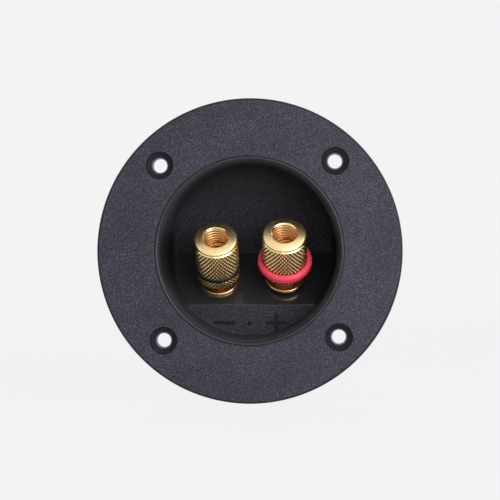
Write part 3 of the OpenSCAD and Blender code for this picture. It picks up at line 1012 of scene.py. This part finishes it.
plastic = grainedPlastic()
gold = goldPlate()
red = smoothPlastic("redPlastic", redLook)
black = smoothPlastic("blackPlastic", blackLook)
rubber = smoothPlastic("blackRubber", rubberLook)
print("finishes made")

dress(makeCup(), "base", "cup_plastic", plastic, "cup")
# the raised marks take the smooth black plastic, darker than the ledge round them: a smooth finish, with painted
# shade for the shadow lines at their edges
dress(makeMarks(), "base", "black_ring", black)
washer = makeRing("redInsulator", seats["red"], 0, plainSection(insulator))
dress(washer, "base", "black_ring", black, "red_insulator")
rings = {"black": (plainSection(blackRing), rubber), "red": (beadSection(redRing), red)}
for colour, (section, ringFinish) in rings.items():
    foot = feet[colour]
    base = endOf(colour + "_thumb_nut", foot)
    thumbNut = makeThumbNut(colour + "ThumbNut", foot, base)
    dress(thumbNut, colour + "_nut", "gold_plate", gold, colour + "_thumb_nut")
    dress(makePost(colour + "Post", foot), "base", "gold_plate", gold, colour + "_post")
    ring = makeRing(colour + "ColourRing", foot, base + nut["land"] + nut["shortKnurl"], section)
    dress(ring, colour + "_ring", colour + "_ring", ringFinish, colour + "_ring")
    for part in ("flat_washer", "spring_washer", "clamp_nut", "solder_lug", "lock_nut"):
        finish = frame["nodes"][colour + "_" + part].data.materials
        finish.clear()
        finish.append(gold)


# Stage, light and camera

stage = {
    "floorSize": 3.0,                   # metres
    "floorCells": 8,
    "floorDrop": 0.02,                  # millimetres under the part
    "floorColour": (0.9, 0.9, 0.9, 1.0),
    "white": 0.896,                     # the plain background
    "light": 0.27,                      # the same all round, as a light
    "plain": 0.96,                      # share of the floor that is plain background
    "fade": (0.3, 0.8),                 # where the floor turns all plain
}
camera = {
    # millimetres, and pixels of a picture 500 wide
    "side": 16.0,
    "rise": 0.33,
    "distance": 380.0,                  # from the front face
    "aim": 0.3,                         # how far to the side it looks at that face
    "near": 10.0,                       # nothing nearer is drawn
    "focalPixels": 1165.0,
    "sensor": 36.0,
    "picture": 500.0,
}
lamps = {
    # name: place and size in metres, and power in watts
    "key": ((0.185, -0.265, 0.058), 0.24, 0.73),
    "top": ((0.25, -0.4, 0.6), 0.5, 1.0),
    "fill": ((0.06, -0.75, -0.03), 0.3, 0.8),
    "back": ((-0.3, 0.55, 0.35), 0.5, 1.6),
}


def shownIn(paint):
    # 1 where a thing is seen straight, mirrored or through something, and 0 where it gives light
    rays = ("Is Camera Ray", "Is Glossy Ray", "Is Transmission Ray")
    return paint.most(*[paint.node("LightPath", {}, {}, name) for name in rays])


def makeFloor():
    # a flat grid, partly lit so that the soft shadow stays and all plain far from the part
    skin = Skin()
    reach = stage["floorSize"] / 2 / mm
    side = np.linspace(-reach, reach, stage["floorCells"] + 1)
    x, y = np.meshgrid(side, side)
    skin.add(np.stack([x, y, np.full_like(x, cadBox[0].z / mm - stage["floorDrop"])], axis=-1))
    floor = skin.piece("floor", 30)
    paint = Paint(bpy.data.materials.new("paleFloor"))
    x, y, z = paint.parts(paint.place())
    far = paint.ramp((x * x + y * y) ** 0.5, *stage["fade"])
    share = shownIn(paint) * (stage["plain"] + (1 - stage["plain"]) * far)
    lit = paint.node("BsdfDiffuse", {}, {"Color": stage["floorColour"]})
    plain = paint.node("Emission", {}, {"Color": (1, 1, 1, 1), "Strength": stage["white"]})
    mixed = paint.node("MixShader", {}, {0: share, 1: lit, 2: plain})
    paint.node("OutputMaterial", {}, {"Surface": mixed})
    floor.data.materials.append(paint.owner)


def makeWorld():
    # plain white where it is seen, and softer as a light
    paint = Paint(bpy.data.worlds.new("studio"))
    strength = stage["light"] + (stage["white"] - stage["light"]) * shownIn(paint)
    sky = paint.node("Background", {}, {"Color": (1, 1, 1, 1), "Strength": strength})
    paint.node("OutputWorld", {}, {"Surface": sky})
    bpy.context.scene.world = paint.owner


def facing(place, aim):
    # the turn that points a lamp or the camera at something
    return (Vector(aim) - Vector(place)).to_track_quat("-Z", "Y").to_euler()


def makeLamps():
    # round soft lamps that face the part's origin
    for name, (place, size, power) in lamps.items():
        data = bpy.data.lights.new(name, "AREA")
        data.shape = "DISK"
        data.size = size
        data.energy = power
        lamp = bpy.data.objects.new(name, data)
        lamp.location = place
        lamp.rotation_euler = facing(place, (0, 0, 0))
        bpy.context.scene.collection.objects.link(lamp)


def makeCamera():
    # a lens whose focal length is given in pixels, as it is read from the picture
    data = bpy.data.cameras.new("camera")
    data.sensor_width = camera["sensor"]
    data.lens = camera["focalPixels"] * camera["sensor"] / camera["picture"]
    data.clip_start = camera["near"] * mm
    eye = bpy.data.objects.new("camera", data)
    eye.location = Vector((camera["side"], frontY - camera["distance"], camera["rise"])) * mm
    eye.rotation_euler = facing(eye.location, Vector((camera["aim"], frontY, camera["rise"])) * mm)
    bpy.context.scene.collection.objects.link(eye)
    bpy.context.scene.camera = eye


makeFloor()
makeWorld()
makeLamps()
makeCamera()
bpy.context.scene.view_settings.view_transform = "Standard"
print("stage, lamps and camera set")
